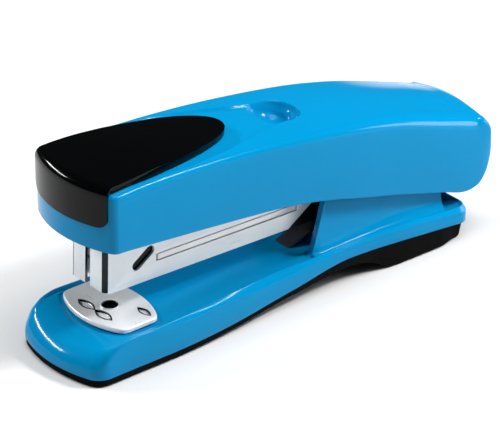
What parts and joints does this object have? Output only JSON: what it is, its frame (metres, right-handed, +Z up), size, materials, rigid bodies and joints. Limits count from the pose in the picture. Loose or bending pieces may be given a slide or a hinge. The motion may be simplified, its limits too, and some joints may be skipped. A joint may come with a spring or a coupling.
{
  "type": "stapler",
  "caption": "Half-strip desktop stapler: moulded base with a turning anvil, steel staple magazine, and a long moulded cover with a thumb pad",
  "frame": {"origin": "middle of the bounding box on the surface that the stapler stands on", "axes": "+X runs from the mouth to the hinge, +Y across the width, +Z up"},
  "size_m": [0.1446, 0.0346, 0.0583],
  "materials": {
    "blue_plastic": "glossy moulded ABS",
    "black_plastic": "satin-gloss moulded plastic",
    "sole_rubber": "matte rubber",
    "steel": "zinc-plated pressed steel",
    "bright_steel": "bright nickel plate",
    "staple_wire": "galvanised wire",
    "spring_steel": "oiled spring steel"
  },
  "bodies": {
    "base": {"base_cover": "blue_plastic", "sole": "sole_rubber", "base_frame": "steel", "hinge_pin": "steel", "hinge_clip_left": "spring_steel", "hinge_clip_right": "spring_steel", "return_spring": "spring_steel", "sole_screw_front": "steel", "sole_screw_rear": "steel", "anvil_spring": "spring_steel", "anvil_washer": "steel"},
    "anvil_post": {"anvil_post": "steel"},
    "anvil_plate": {"anvil_plate": "bright_steel"},
    "magazine": {"magazine_channel": "steel", "guide_strip_left": "bright_steel", "guide_strip_right": "bright_steel", "staple_rail": "steel", "staple_strip": "staple_wire", "pusher_spring": "spring_steel", "rear_stop": "steel", "magazine_rivet": "steel"},
    "pusher": {"pusher": "steel"},
    "handle": {"top_cover": "blue_plastic", "thumb_pad": "black_plastic", "handle_frame": "steel", "driver_blade": "bright_steel", "handle_spring": "spring_steel"}
  },
  "joints": [
    {"name": "magazine_hinge", "type": "hinge", "parent": "base", "child": "magazine", "pos_m": [0.0576, 0, 0.024], "axis": [0, 1, 0], "range_deg": [-3, 30], "stiffness_Nm_per_rad": 0.35, "springref_deg": 6.88, "deforming": ["return_spring"]},
    {"name": "handle_hinge", "type": "hinge", "parent": "magazine", "child": "handle", "pos_m": [0.0576, 0, 0.024], "axis": [0, 1, 0], "range_deg": [-3.5, 50], "stiffness_Nm_per_rad": 0.35, "springref_deg": 6.88, "deforming": ["handle_spring"]},
    {"name": "pusher_slide", "type": "slide", "parent": "magazine", "child": "pusher", "axis": [0.9995, 0, -0.0308], "range_m": [0, 0.028], "stiffness_N_per_m": 15, "springref_m": -0.05},
    {"name": "anvil_lift", "type": "slide", "parent": "base", "child": "anvil_post", "axis": [0, 0, 1], "range_m": [0, 0.0015], "stiffness_N_per_m": 400, "springref_m": -0.003, "deforming": ["anvil_spring"]},
    {"name": "anvil_turn", "type": "hinge", "parent": "anvil_post", "child": "anvil_plate", "pos_m": [-0.0519, 0, 0.012], "axis": [0, 0, 1], "range_deg": [0, 180]}
  ]
}
